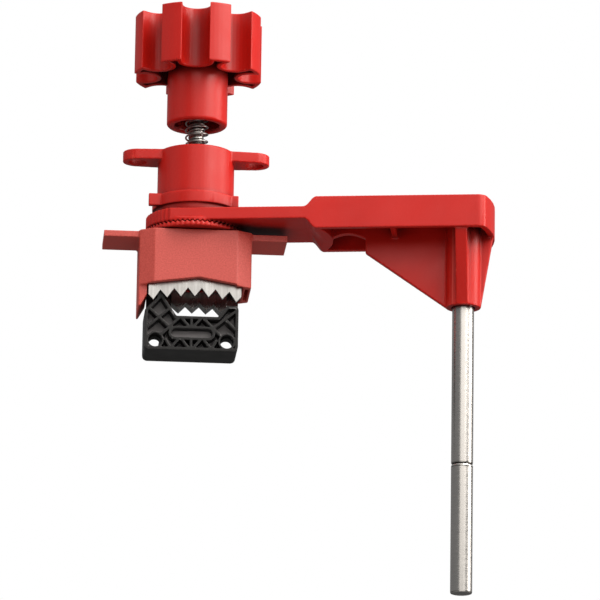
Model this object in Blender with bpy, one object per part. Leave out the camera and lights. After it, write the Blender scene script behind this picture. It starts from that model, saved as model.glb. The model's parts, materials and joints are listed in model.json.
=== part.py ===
"""Universal valve lockout: a screw clamp with a blocking arm and rod.

The origin lies on the screw axis, at the floor of the lower jaw's notch, where
the valve handle rests. +Z runs up the screw, +X towards the blocking arm and -Y
towards the front of the clamp. All lengths are in metres.
"""

import math

import bmesh
import bpy
from mathutils import Matrix, Vector

MM = 0.001
GAP = 0.3 * MM

# Hand knob
KNOB_RADIUS = 28.4 * MM
KNOB_BOTTOM = 111.4 * MM
KNOB_TOP = 138.2 * MM
KNOB_WALL = 2.0 * MM
KNOB_ROOF = 2.6 * MM
KNOB_LOBES = 8
KNOB_FLUTE_RADIUS = 6.1 * MM
KNOB_FLUTE_CENTRE = 24.0 * MM
KNOB_TWIST = -5.4
HUB_RADIUS = 13.3 * MM
HUB_BOTTOM = 89.2 * MM
HUB_BORE = 9.7 * MM
HUB_CEILING = 109.0 * MM

# Screw, nut and spring
SCREW_RADIUS = 3.7 * MM
SCREW_NECK = 2.6 * MM
SCREW_HOLE = 4.2 * MM
NUT_FLATS = 13.0 * MM
NUT_HEIGHT = 6.5 * MM
NUT_SEAT = 121.3 * MM
WASHER_THICKNESS = 1.2 * MM
SCREW_TOP = 132.2 * MM
SPRING_RADIUS = 4.85 * MM
SPRING_WIRE = 0.4 * MM
SPRING_TURNS = 15

# Locking collar
COLLAR_RADIUS = 16.8 * MM
COLLAR_TOP = 76.5 * MM
COLLAR_BORE = 13.5 * MM
COLLAR_FLANGE_RADIUS = 18.9 * MM
COLLAR_FLANGE = (49.6 * MM, 55.0 * MM)
COLLAR_SPIGOT_RADIUS = 15.2 * MM
COLLAR_SPIGOT_BOTTOM = 41.0 * MM
COLLAR_HIP_RADIUS = 17.6 * MM
COLLAR_STEP = 66.4 * MM
RETAINING_RING = (41.9 * MM, 42.9 * MM)
RETAINING_RING_RADII = (14.65 * MM, 17.0 * MM)
RING_SPACE_RADIUS = 17.4 * MM
EAR_LENGTH = 32.2 * MM
EAR_RADIUS = 6.5 * MM
EAR_THICKNESS = 4.6 * MM
EAR_HOLE_RADIUS = 4.0 * MM
LUG_REACH = (-20.9 * MM, 18.4 * MM)
LUG_ROOT = 14.0 * MM
LUG_SPAN = (-10.9 * MM, -8.3 * MM)

# Housing
HOUSING_TOP = 38.0 * MM
HOUSING_HALF_DEPTH = 16.0 * MM
HOUSING_HALF_WIDTH = 24.5 * MM
HOUSING_FACE_HALF_WIDTH = 18.0 * MM
HOUSING_SIDE_HALF_DEPTH = 12.0 * MM
HOUSING_EDGE = (13.6 * MM, 16.3 * MM)
HOUSING_APEX = 1.6 * MM
HOUSING_RIGHT_BOTTOM = 12.9 * MM
HOUSING_LEFT_BOTTOM = 3.8 * MM
SKIRT_TAPER_TOP = 9.5 * MM
SKIRT_TIP = 0.7 * MM
HOUSING_ROOF = 4.0 * MM
CAVITY_HALF_WIDTH = 20.8 * MM
CAVITY_HALF_DEPTH = 13.0 * MM
WING_REACH = 40.0 * MM
WING_THICKNESS = 2.8 * MM
WING_HALF_DEPTH = 11.2 * MM
WING_TOP = 37.5 * MM
BOSS_RADIUS = 12.0 * MM
BOSS_TOP = 64.3 * MM
BOSS_KEYS = 4

# Index teeth between the housing and the arm
INDEX_TEETH = 60
INDEX_RADII = (17.9 * MM, 21.6 * MM)
INDEX_SERRATION = 0.5 * MM
INDEX_ROOT = 39.7 * MM
INDEX_TOOTH = 1.0 * MM
RING_HOLE = 13.3 * MM
RING_PLATE = 1.2 * MM
RING_SCREW_OFFSET = 11.2 * MM
RING_SCREW_PLACES = [
    (RING_SCREW_OFFSET, RING_SCREW_OFFSET),
    (-RING_SCREW_OFFSET, RING_SCREW_OFFSET),
    (-RING_SCREW_OFFSET, -RING_SCREW_OFFSET),
    (RING_SCREW_OFFSET, -RING_SCREW_OFFSET),
]

# Blocking arm
ARM_ANGLE = -9.5
ARM_HALF_WIDTH = 19.75 * MM
ARM_NECK = (41.2 * MM, 46.6 * MM)
ARM_EYE_BORE = 15.5 * MM
TRAY_START = 44.0 * MM
TRAY_END = 131.5 * MM
TRAY_BOW = 60.0 * MM
TRAY_HEIGHTS = (36.7 * MM, 51.0 * MM)
TRAY_WALL = 2.8 * MM
TRAY_CORNER = 4.0 * MM
UPPER_STEP = (49.6 * MM, 55.0 * MM)
LOWER_STEP = (49.8 * MM, 55.0 * MM)
SADDLE_CENTRE = 24.3 * MM
SADDLE_RADII = (33.5 * MM, 36.5 * MM)
SADDLE_RAMP = 25.0 * MM
CROSS_RIB = 88.3 * MM
WEB_THICKNESS = 3.0 * MM
GUSSET_START = 75.2 * MM
GUSSET_DROP = 30.3 * MM
WEB_ARCH = 2.2 * MM
ROD_CENTRE = 118.0 * MM
ROD_BOSS_RADIUS = 7.6 * MM
ROD_BOSS_BOTTOM = 5.1 * MM

# Blocking rod
ROD_RADIUS = 4.75 * MM
ROD_TOP = 44.2 * MM
ROD_JOINT = -64.9 * MM
ROD_END = -121.7 * MM
ROD_CHAMFER = 0.6 * MM
STUD_RADIUS = 3.0 * MM
STUD_LENGTH = 22.0 * MM

# Jaws
JAW_LEFT = -21.5 * MM
JAW_RIGHT = 19.3 * MM
JAW_SHIFT = -1.2 * MM
JAW_HALF_DEPTH = 10.6 * MM
JAW_BOTTOM = -15.3 * MM
JAW_RIGHT_TOP = 5.2 * MM
JAW_LEFT_TOP = 2.4 * MM
NOTCH_FLOOR = (-7.7 * MM, 10.3 * MM)
NOTCH_MOUTH = 14.3 * MM
NECK_EDGE = -16.3 * MM
TANG_EDGE = -12.4 * MM
TANG_OUTER = -20.5 * MM
TANG_TOP = 31.0 * MM
JAW_RIM = 1.3 * MM
JAW_RIB = 1.1 * MM
JAW_POCKET = 5.0 * MM
JAW_WEB = 4.5 * MM
JAW_HOLE_RADIUS = 2.65 * MM
JAW_MOUTH_RADIUS = 3.0 * MM
JAW_RING_RADIUS = 3.8 * MM
JAW_HOLE_X = (JAW_SHIFT - 15.6 * MM, JAW_SHIFT + 15.6 * MM)
JAW_HOLE_Z = -11.0 * MM
JAW_SCREW_HEIGHTS = (19.5 * MM, 27.0 * MM)
STADIUM_CENTRE = (-0.9 * MM, -7.6 * MM)
STADIUM_HALF = 7.1 * MM
FRONT_TEETH = (8.4 * MM, 12.3 * MM)
REAR_TEETH = (7.3 * MM, 10.2 * MM)
TOOTH_PITCH = 6.0 * MM
TOOTH_ARCH = 1.4 * MM
PLATE_HALF_WIDTH = 20.2 * MM
PLATE_INNER = 10.9 * MM
PLATE_OUTER = 12.5 * MM
PLATE_TOP = 18.4 * MM
REAR_PLATES = 4
STACK_SPAN = (-9.5 * MM, 14.8 * MM)
CARRIER = (15.0 * MM, 19.5 * MM)
CARRIER_SPAN = (-11.9 * MM, 19.2 * MM)
RIVET_X = (-8.0 * MM, 9.0 * MM)
RIVET_Z = 16.9 * MM
RIVET_RADIUS = 1.1 * MM

RED = (0.58, 0.026, 0.022)
RED_GRAINED = (0.60, 0.045, 0.036)
BLACK = (0.017, 0.017, 0.017)
STEEL = (0.60, 0.58, 0.55)
BRIGHT_STEEL = (0.82, 0.81, 0.78)
BRASS = (0.70, 0.52, 0.24)


# ---------------------------------------------------------------- shape tools


def clear_scene():
    """Empty the scene of objects."""
    for old in list(bpy.data.objects):
        bpy.data.objects.remove(old, do_unlink=True)


def finish(name, colour, roughness, metallic):
    """A Principled material with one colour, roughness and metallic value."""
    material = bpy.data.materials.new(name)
    material.use_nodes = True
    shader = material.node_tree.nodes["Principled BSDF"]
    shader.inputs["Base Color"].default_value = (*colour, 1.0)
    shader.inputs["Roughness"].default_value = roughness
    shader.inputs["Metallic"].default_value = metallic
    material.diffuse_color = (*colour, 1.0)
    return material


def pivot(name, angle=0.0):
    """An empty on the screw axis that carries one moving body."""
    empty = bpy.data.objects.new(name, None)
    empty.rotation_euler.z = math.radians(angle)
    bpy.context.collection.objects.link(empty)
    return empty


def solid_from(bm, name):
    """Turn a bmesh into a closed object whose faces point outwards."""
    bmesh.ops.remove_doubles(bm, verts=bm.verts, dist=1e-7)
    bmesh.ops.recalc_face_normals(bm, faces=bm.faces)
    mesh = bpy.data.meshes.new(name)
    bm.to_mesh(mesh)
    bm.free()
    shape = bpy.data.objects.new(name, mesh)
    bpy.context.collection.objects.link(shape)
    return shape


def arc(centre, radius, start, end, steps):
    """Points along an arc in a plane, with its angles in degrees."""
    points = []
    for step in range(steps + 1):
        angle = math.radians(start + (end - start) * step / steps)
        points.append((centre[0] + radius * math.cos(angle), centre[1] + radius * math.sin(angle)))
    return points


def circle(radius, steps, centre=(0.0, 0.0)):
    """A closed ring of points round a centre."""
    return arc(centre, radius, 0.0, 360.0 * (steps - 1) / steps, steps - 1)


def inset(outline, distance):
    """Move each side of an anticlockwise outline inwards by a distance."""
    moved = []
    count = len(outline)
    for index in range(count):
        before = Vector(outline[index - 1])
        here = Vector(outline[index])
        after = Vector(outline[(index + 1) % count])
        first = (here - before).normalized()
        second = (after - here).normalized()
        normal_sum = Vector((-first.y - second.y, first.x + second.x))
        reach = distance / (0.5 * normal_sum.length_squared)
        moved.append(tuple(here + normal_sum * reach))
    return moved


def prism(name, outline, low, high, plane="XY"):
    """Extrude a closed outline, drawn in a plane, across that plane from low to high."""
    place = {
        "XY": lambda u, v, w: (u, v, w),
        "XZ": lambda u, v, w: (u, w, v),
        "YZ": lambda u, v, w: (w, u, v),
    }[plane]
    bm = bmesh.new()
    bottom = [bm.verts.new(place(u, v, low)) for u, v in outline]
    top = [bm.verts.new(place(u, v, high)) for u, v in outline]
    bm.faces.new(bottom)
    bm.faces.new(top)
    count = len(outline)
    for index in range(count):
        after = (index + 1) % count
        bm.faces.new((bottom[index], bottom[after], top[after], top[index]))
    return solid_from(bm, name)


def box(name, low, high):
    """A rectangular block between two corners."""
    outline = [(low[0], low[1]), (high[0], low[1]), (high[0], high[1]), (low[0], high[1])]
    return prism(name, outline, low[2], high[2])


def lathe(name, profile, steps, centre=(0.0, 0.0)):
    """Turn a closed (radius, height) profile round a vertical line."""
    bm = bmesh.new()
    rings = []
    for radius, height in profile:
        if radius < 1e-9:
            rings.append([bm.verts.new((centre[0], centre[1], height))] * steps)
        else:
            ring = [bm.verts.new((x, y, height)) for x, y in circle(radius, steps, centre)]
            rings.append(ring)
    for index in range(len(rings)):
        lower = rings[index]
        upper = rings[(index + 1) % len(rings)]
        for step in range(steps):
            after = (step + 1) % steps
            corners = [lower[step], lower[after], upper[after], upper[step]]
            distinct = list(dict.fromkeys(corners))
            if len(distinct) > 2:
                bm.faces.new(distinct)
    return solid_from(bm, name)


def cylinder(name, radius, low, high, steps, centre=(0.0, 0.0)):
    """A plain upright cylinder."""
    return prism(name, circle(radius, steps, centre), low, high)


def cross_pin(name, radius, centre, low, high, steps, plane):
    """A cylinder lying along Y (plane XZ) or along X (plane YZ)."""
    return prism(name, circle(radius, steps, centre), low, high, plane)


def combine(target, tool, operation):
    """Apply a Boolean to the target with the tool, and drop the tool."""
    tool.hide_render = True
    tool.display_type = "WIRE"
    modifier = target.modifiers.new(operation.title(), "BOOLEAN")
    modifier.operation = operation
    modifier.object = tool
    modifier.solver = "EXACT"
    evaluated = target.evaluated_get(bpy.context.evaluated_depsgraph_get())
    result = bpy.data.meshes.new_from_object(evaluated)
    bm = bmesh.new()
    bm.from_mesh(result)
    bmesh.ops.dissolve_degenerate(bm, dist=1e-7, edges=bm.edges)
    bm.to_mesh(result)
    bm.free()
    target.modifiers.clear()
    target.data = result
    bpy.data.objects.remove(tool, do_unlink=True)
    return target


def add(target, *tools):
    """Join solids to the target."""
    for tool in tools:
        combine(target, tool, "UNION")
    return target


def cut(target, *tools):
    """Remove solids from the target."""
    for tool in tools:
        combine(target, tool, "DIFFERENCE")
    return target


def settle(shape, material, body):
    """Give a finished piece its material, its shading and its moving body."""
    shape.data.materials.clear()
    shape.data.materials.append(material)
    shape.data.shade_smooth()
    shape.data.set_sharp_from_angle(angle=math.radians(35.0))
    if body is not None:
        shape.parent = body
    return shape


# ------------------------------------------------------------------ hand knob


def star_outline(wall):
    """The knob's fluted outline, moved inwards by a wall thickness."""
    lobe_radius = KNOB_RADIUS - wall
    flute_radius = KNOB_FLUTE_RADIUS + wall
    pitch = 360.0 / KNOB_LOBES
    half_mouth = math.degrees(math.asin(flute_radius / lobe_radius))
    points = []
    for lobe in range(KNOB_LOBES):
        turn = lobe * pitch
        flute = math.radians(turn)
        centre = (KNOB_FLUTE_CENTRE * math.cos(flute), KNOB_FLUTE_CENTRE * math.sin(flute))
        points += arc(centre, flute_radius, turn + 270.0, turn + 90.0, 12)
        points += arc((0.0, 0.0), lobe_radius, turn + half_mouth, turn + pitch - half_mouth, 5)
    return points


def make_hand_knob(material, body):
    """A fluted shell, open underneath, on a hub that is bored for the spring."""
    knob = prism("hand_knob", star_outline(0.0), KNOB_BOTTOM, KNOB_TOP)
    hollow = prism("hollow", star_outline(KNOB_WALL), KNOB_BOTTOM - MM, KNOB_TOP - KNOB_ROOF)
    cut(knob, hollow)
    hub = lathe(
        "hub",
        [
            (0.0, HUB_CEILING),
            (HUB_BORE, HUB_CEILING),
            (HUB_BORE, HUB_BOTTOM + 0.8 * MM),
            (HUB_BORE + 0.8 * MM, HUB_BOTTOM),
            (HUB_RADIUS - 0.8 * MM, HUB_BOTTOM),
            (HUB_RADIUS, HUB_BOTTOM + 0.8 * MM),
            (HUB_RADIUS, KNOB_TOP - 1.0 * MM),
            (0.0, KNOB_TOP - 1.0 * MM),
        ],
        72,
    )
    add(knob, hub)
    screw_hole = cylinder("screw_hole", SCREW_RADIUS + GAP, HUB_CEILING - MM, KNOB_TOP + MM, 20)
    nut_recess = prism("nut_recess", circle(8.2 * MM, 6), NUT_SEAT, KNOB_TOP + MM)
    cap_recess = cylinder("cap_recess", 10.0 * MM, KNOB_TOP - 2.0 * MM, KNOB_TOP + MM, 40)
    cut(knob, cap_recess, nut_recess, screw_hole)
    return settle(knob, material, body)


def make_knob_nut(material, body):
    """The lock nut that holds the knob on the screw."""
    low = NUT_SEAT + WASHER_THICKNESS + 2.0 * GAP
    nut = prism("knob_nut", circle(7.6 * MM, 6), low, low + NUT_HEIGHT)
    cut(nut, cylinder("bore", SCREW_RADIUS + GAP, low - MM, low + NUT_HEIGHT + MM, 20))
    return settle(nut, material, body)


def make_knob_washer(material, body):
    """The washer between the lock nut and the floor of its recess."""
    low = NUT_SEAT + GAP
    high = low + WASHER_THICKNESS
    inner = SCREW_RADIUS + 0.4 * MM
    outer = 6.4 * MM
    profile = [(inner, low), (outer, low), (outer, high), (inner, high)]
    return settle(lathe("knob_washer", profile, 28), material, body)


def make_knob_cap(material, body):
    """The snap-in cap that closes the knob's top."""
    profile = [
        (0.0, KNOB_TOP - 1.7 * MM),
        (9.7 * MM, KNOB_TOP - 1.7 * MM),
        (9.7 * MM, KNOB_TOP - 0.4 * MM),
        (9.2 * MM, KNOB_TOP),
        (0.0, KNOB_TOP),
    ]
    cap = lathe("knob_cap", profile, 32)
    skirt = [
        (5.6 * MM, KNOB_TOP - 4.5 * MM),
        (6.6 * MM, KNOB_TOP - 4.5 * MM),
        (6.6 * MM, KNOB_TOP - 1.5 * MM),
        (5.6 * MM, KNOB_TOP - 1.5 * MM),
    ]
    add(cap, lathe("skirt", skirt, 20))
    return settle(cap, material, body)


# --------------------------------------------------------- screw, nut, spring


def make_screw(material, body):
    """The clamp screw, with a neck and clip groove where it turns in the carrier."""
    neck_low = CARRIER[0] + 0.4 * MM
    groove = (CARRIER[0] + 1.0 * MM, CARRIER[0] + 2.0 * MM)
    shoulder = CARRIER[1] + 1.3 * MM
    profile = [
        (0.0, neck_low),
        (SCREW_NECK, neck_low),
        (SCREW_NECK, groove[0]),
        (SCREW_NECK - 0.6 * MM, groove[0]),
        (SCREW_NECK - 0.6 * MM, groove[1]),
        (SCREW_NECK, groove[1]),
        (SCREW_NECK, shoulder),
        (SCREW_RADIUS, shoulder),
        (SCREW_RADIUS, SCREW_TOP - 0.8 * MM),
        (SCREW_RADIUS - 0.6 * MM, SCREW_TOP),
        (0.0, SCREW_TOP),
    ]
    return settle(lathe("clamp_screw", profile, 20), material, body)


def make_spring(material):
    """The compression spring between the housing's boss and the knob's hub."""
    low = BOSS_TOP + 1.7 * MM + SPRING_WIRE
    high = HUB_CEILING - GAP - SPRING_WIRE
    steps_per_turn = 10
    sides = 5
    steps = SPRING_TURNS * steps_per_turn
    bm = bmesh.new()
    rings = []
    for step in range(steps + 1):
        turn = 2.0 * math.pi * step / steps_per_turn
        outward = Vector((math.cos(turn), math.sin(turn), 0.0))
        share = step / steps
        middle = outward * SPRING_RADIUS + Vector((0.0, 0.0, low + (high - low) * share))
        ring = []
        for side in range(sides):
            angle = 2.0 * math.pi * side / sides
            offset = outward * math.cos(angle) + Vector((0.0, 0.0, math.sin(angle)))
            ring.append(bm.verts.new(middle + offset * SPRING_WIRE))
        rings.append(ring)
    bm.faces.new(rings[0])
    bm.faces.new(rings[-1])
    for lower, upper in zip(rings, rings[1:]):
        for side in range(sides):
            after = (side + 1) % sides
            bm.faces.new((lower[side], lower[after], upper[after], upper[side]))
    return settle(solid_from(bm, "knob_spring"), material, None)


def make_spring_washer(material):
    """The steel washer that the spring stands on."""
    low = BOSS_TOP + GAP
    high = BOSS_TOP + 1.3 * MM
    profile = [(4.4 * MM, low), (8.0 * MM, low), (8.0 * MM, high), (4.4 * MM, high)]
    return settle(lathe("spring_washer", profile, 28), material, None)


def make_screw_nut(material):
    """The brass hex nut, held in the housing's boss, that the screw turns in."""
    high = BOSS_TOP - 0.2 * MM
    nut = prism("screw_nut", circle(NUT_FLATS / math.sqrt(3.0), 6), high - NUT_HEIGHT, high)
    cut(nut, cylinder("bore", SCREW_RADIUS + GAP, high - NUT_HEIGHT - MM, high + MM, 20))
    return settle(nut, material, None)


# ------------------------------------------------------------- locking collar


def key_bars(reach, half_width, low, high):
    """Upright bars round the boss that stop the collar from turning."""
    bars = []
    for key in range(BOSS_KEYS):
        bar = box("key", (BOSS_RADIUS - 2.0 * MM, -half_width, low), (reach, half_width, high))
        bar.data.transform(Matrix.Rotation(math.radians(45.0 + key * 360.0 / BOSS_KEYS), 4, "Z"))
        bars.append(bar)
    return bars


def make_collar(material, body):
    """A sleeve with a flange, two padlock ears and a spigot that the arm turns on."""
    bore = BOSS_RADIUS + 0.35 * MM
    profile = [
        (bore, COLLAR_SPIGOT_BOTTOM),
        (COLLAR_SPIGOT_RADIUS, COLLAR_SPIGOT_BOTTOM),
        (COLLAR_SPIGOT_RADIUS, RETAINING_RING[0] - GAP),
        (COLLAR_SPIGOT_RADIUS - 0.9 * MM, RETAINING_RING[0] - GAP),
        (COLLAR_SPIGOT_RADIUS - 0.9 * MM, RETAINING_RING[1] + GAP),
        (COLLAR_SPIGOT_RADIUS, RETAINING_RING[1] + GAP),
        (COLLAR_SPIGOT_RADIUS, ARM_NECK[1] + GAP),
        (COLLAR_HIP_RADIUS, ARM_NECK[1] + GAP),
        (COLLAR_HIP_RADIUS, COLLAR_FLANGE[0]),
        (COLLAR_FLANGE_RADIUS, COLLAR_FLANGE[0]),
        (COLLAR_FLANGE_RADIUS, COLLAR_FLANGE[1] - 0.4 * MM),
        (COLLAR_FLANGE_RADIUS - 0.4 * MM, COLLAR_FLANGE[1]),
        (COLLAR_RADIUS, COLLAR_FLANGE[1]),
        (COLLAR_RADIUS, COLLAR_TOP - 0.5 * MM),
        (COLLAR_RADIUS - 0.5 * MM, COLLAR_TOP),
        (COLLAR_BORE, COLLAR_TOP),
        (COLLAR_BORE, COLLAR_STEP),
        (bore, COLLAR_STEP),
    ]
    collar = lathe("locking_collar", profile, 72)
    hole_centre = EAR_LENGTH - EAR_RADIUS
    for side in (1.0, -1.0):
        tip = arc((hole_centre, 0.0), EAR_RADIUS, -90.0, 90.0, 16)
        root = [(14.6 * MM, EAR_RADIUS + 0.8 * MM), (14.6 * MM, -EAR_RADIUS - 0.8 * MM)]
        outline = [(side * x, y) for x, y in tip + root]
        add(collar, prism("ear", outline, COLLAR_TOP - EAR_THICKNESS, COLLAR_TOP - 0.02 * MM))
        hole = circle(EAR_HOLE_RADIUS, 32, (side * hole_centre, 0.0))
        cut(collar, prism("hole", hole, COLLAR_TOP - EAR_THICKNESS - MM, COLLAR_TOP + MM))
    for reach in LUG_REACH:
        low_x, high_x = sorted((reach, math.copysign(LUG_ROOT, reach)))
        lug_low = (low_x, LUG_SPAN[0], COLLAR_FLANGE[0])
        add(collar, box("lug", lug_low, (high_x, LUG_SPAN[1], COLLAR_FLANGE[1])))
    key_ways = key_bars(BOSS_RADIUS + 1.2 * MM, 1.5 * MM, COLLAR_SPIGOT_BOTTOM - MM, COLLAR_STEP - GAP)
    cut(collar, *key_ways)
    return settle(collar, material, body)


def make_retaining_ring(material, body):
    """The snap ring that holds the arm's eye on the collar's spigot."""
    inner, outer = RETAINING_RING_RADII
    outline = arc((0.0, 0.0), outer, 12.0, 348.0, 36)
    outline += arc((0.0, 0.0), inner, 348.0, 12.0, 36)
    return settle(prism("collar_retaining_ring", outline, *RETAINING_RING), material, body)


# -------------------------------------------------------------------- housing


def eight_sided(half_width, face_half_width, half_depth, side_half_depth):
    """The housing's plan: a rectangle with its four corners cut off."""
    quarter = [(half_width, side_half_depth), (face_half_width, half_depth)]
    points = [(x, y) for x, y in quarter]
    points += [(-x, y) for x, y in reversed(quarter)]
    points += [(-x, -y) for x, y in quarter]
    points += [(x, -y) for x, y in reversed(quarter)]
    return points


def make_housing(material):
    """The clamp's red body, open underneath, with side wings and the boss on top."""
    plan = eight_sided(
        HOUSING_HALF_WIDTH, HOUSING_FACE_HALF_WIDTH, HOUSING_HALF_DEPTH, HOUSING_SIDE_HALF_DEPTH
    )
    low = HOUSING_RIGHT_BOTTOM
    housing = prism("clamp_housing", plan, low, HOUSING_TOP)
    skirt_low = (-HOUSING_HALF_WIDTH, -HOUSING_SIDE_HALF_DEPTH, HOUSING_LEFT_BOTTOM)
    skirt_high = (-CAVITY_HALF_WIDTH, HOUSING_SIDE_HALF_DEPTH, low + MM)
    wing_low = (-WING_REACH, -WING_HALF_DEPTH, WING_TOP - WING_THICKNESS)
    wing_high = (WING_REACH, WING_HALF_DEPTH, WING_TOP)
    boss = cylinder("boss", BOSS_RADIUS, HOUSING_TOP - MM, BOSS_TOP, 40)
    add(housing, box("skirt", skirt_low, skirt_high), box("wing", wing_low, wing_high), boss)
    add(housing, *key_bars(BOSS_RADIUS + 0.8 * MM, 1.1 * MM, HOUSING_TOP - 0.5 * MM, 60.0 * MM))
    cavity = eight_sided(
        CAVITY_HALF_WIDTH, CAVITY_HALF_WIDTH - GAP, CAVITY_HALF_DEPTH, CAVITY_HALF_DEPTH - GAP
    )
    cut(housing, prism("cavity", cavity, low - MM, HOUSING_TOP - HOUSING_ROOF))
    gable = [
        (-CAVITY_HALF_WIDTH, low - MM),
        (HOUSING_FACE_HALF_WIDTH, low - MM),
        (HOUSING_FACE_HALF_WIDTH, HOUSING_EDGE[0]),
        (HOUSING_APEX, HOUSING_EDGE[1]),
        (-HOUSING_FACE_HALF_WIDTH, HOUSING_EDGE[0]),
        (-CAVITY_HALF_WIDTH, HOUSING_EDGE[0] - GAP),
    ]
    cut(housing, prism("gable", gable, -20.0 * MM, 20.0 * MM, "XZ"))
    taper = [
        (-CAVITY_HALF_WIDTH + GAP, SKIRT_TAPER_TOP),
        (SKIRT_TIP - HOUSING_HALF_WIDTH, HOUSING_LEFT_BOTTOM - 0.1 * MM),
        (-CAVITY_HALF_WIDTH + GAP, HOUSING_LEFT_BOTTOM - 0.1 * MM),
    ]
    cut(housing, prism("taper", taper, -20.0 * MM, 20.0 * MM, "XZ"))
    slot = box("slot", (22.0 * MM, -9.5 * MM, low - MM), (23.4 * MM, 9.5 * MM, 30.0 * MM))
    cut(housing, slot)
    nut_across = (NUT_FLATS + 2.0 * GAP) / math.sqrt(3.0)
    cut(housing, cylinder("screw_way", SCREW_HOLE, 30.0 * MM, BOSS_TOP + MM, 24))
    cut(housing, prism("nut_pocket", circle(nut_across, 6), BOSS_TOP - NUT_HEIGHT - 0.5 * MM, BOSS_TOP + MM))
    for height in JAW_SCREW_HEIGHTS:
        head = cross_pin("head", 3.3 * MM, (0.0, height), -25.0 * MM, -22.4 * MM, 20, "YZ")
        shank = cross_pin("shank", 2.0 * MM, (0.0, height), -25.0 * MM, -20.0 * MM, 16, "YZ")
        cut(housing, head, shank)
    for x, y in RING_SCREW_PLACES:
        cut(housing, cylinder("ring_hole", 1.1 * MM, 33.0 * MM, HOUSING_TOP + MM, 12, (x, y)))
    return settle(housing, material, None)


def toothed_ring(name, section, root, tip, outer, serration):
    """A ring with radial teeth on one face and a serrated rim.

    The section lists (inset from the teeth's inner radius, height) points of the
    untoothed side. A tip above the root points the teeth up, one below it down.
    """
    inner = INDEX_RADII[0]
    bm = bmesh.new()
    rows = []
    for step in range(2 * INDEX_TEETH):
        angle = math.pi * step / INDEX_TEETH
        crest = step % 2 == 0
        rim = outer if crest else outer - serration
        face = tip if crest else root
        corners = [(inner - shift, height) for shift, height in section]
        corners += [(rim, section[-1][1]), (rim, face), (inner, face)]
        row = []
        for radius, height in corners:
            row.append(bm.verts.new((radius * math.cos(angle), radius * math.sin(angle), height)))
        rows.append(row)
    for index, row in enumerate(rows):
        after = rows[(index + 1) % len(rows)]
        for corner in range(len(row)):
            beside = (corner + 1) % len(row)
            bm.faces.new((row[corner], row[beside], after[beside], after[corner]))
    bmesh.ops.triangulate(bm, faces=bm.faces)
    return solid_from(bm, name)


def make_index_ring(material):
    """The toothed ring on the housing's top that the arm indexes on."""
    base = HOUSING_TOP + GAP
    ledge = INDEX_RADII[0] - RING_HOLE
    section = [(0.0, base + RING_PLATE), (ledge, base + RING_PLATE), (ledge, base)]
    tip = INDEX_ROOT + INDEX_TOOTH
    ring = toothed_ring("index_ring", section, INDEX_ROOT, tip, INDEX_RADII[1], INDEX_SERRATION)
    for x, y in RING_SCREW_PLACES:
        cut(ring, cylinder("hole", 1.4 * MM, base - MM, base + 5.0 * MM, 12, (x, y)))
    return settle(ring, material, None)


def make_index_ring_screws(material):
    """Four small pan-head screws that hold the index ring down."""
    low = 34.5 * MM
    seat = HOUSING_TOP + RING_PLATE + 2.0 * GAP
    for number, place in enumerate(RING_SCREW_PLACES, start=1):
        profile = [
            (0.0, low),
            (0.8 * MM, low),
            (0.8 * MM, seat),
            (1.7 * MM, seat),
            (1.7 * MM, seat + 0.9 * MM),
            (0.0, seat + 0.9 * MM),
        ]
        settle(lathe(f"index_ring_screw_{number}", profile, 12, place), material, None)


# --------------------------------------------------------------- blocking arm


def eye_outline():
    """The arm's flat neck, whose round end is serrated like the index ring."""
    outer = INDEX_RADII[1]
    flat_x = math.sqrt(outer**2 - ARM_HALF_WIDTH**2)
    limit = math.degrees(math.atan2(ARM_HALF_WIDTH, -flat_x))
    points = [(50.0 * MM, -ARM_HALF_WIDTH), (50.0 * MM, ARM_HALF_WIDTH)]
    half_pitch = 180.0 / INDEX_TEETH
    step = math.ceil(limit / half_pitch)
    while step * half_pitch < 360.0 - limit:
        angle = math.radians(step * half_pitch)
        radius = outer if step % 2 == 0 else outer - INDEX_SERRATION
        points.append((radius * math.cos(angle), radius * math.sin(angle)))
        step += 1
    return points


def tray_outline(wall):
    """The tray's plan: straight sides and a gently bowed outer end."""
    half = ARM_HALF_WIDTH - wall
    bow = TRAY_BOW - wall
    middle = TRAY_END - TRAY_BOW
    corner = TRAY_CORNER - wall
    corner_y = half - corner
    corner_x = middle + math.sqrt((bow - corner) ** 2 - corner_y**2)
    sweep = math.degrees(math.atan2(corner_y, corner_x - middle))
    points = [(TRAY_START, -half)]
    points += arc((corner_x, -corner_y), corner, -90.0, -sweep, 5)
    points += arc((middle, 0.0), bow, -sweep, sweep, 6)[1:-1]
    points += arc((corner_x, corner_y), corner, sweep, 90.0, 5)
    points.append((TRAY_START, half))
    return points


def ease(start, end, low, high, steps=6):
    """Points of a smooth S between two places and heights."""
    points = []
    for step in range(steps + 1):
        share = step / steps
        rise = 0.5 - 0.5 * math.cos(math.pi * share)
        points.append((start + (end - start) * share, low + (high - low) * rise))
    return points


def tray_pocket():
    """The tray's hollow: inside its walls, up to the curved inner end wall."""
    outline = tray_outline(TRAY_WALL)
    half = ARM_HALF_WIDTH - TRAY_WALL
    outer = SADDLE_RADII[1]
    sweep = math.degrees(math.asin(half / outer))
    end_wall = arc((SADDLE_CENTRE, 0.0), outer, sweep, -sweep, 14)
    return outline[1:-1] + end_wall


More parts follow.
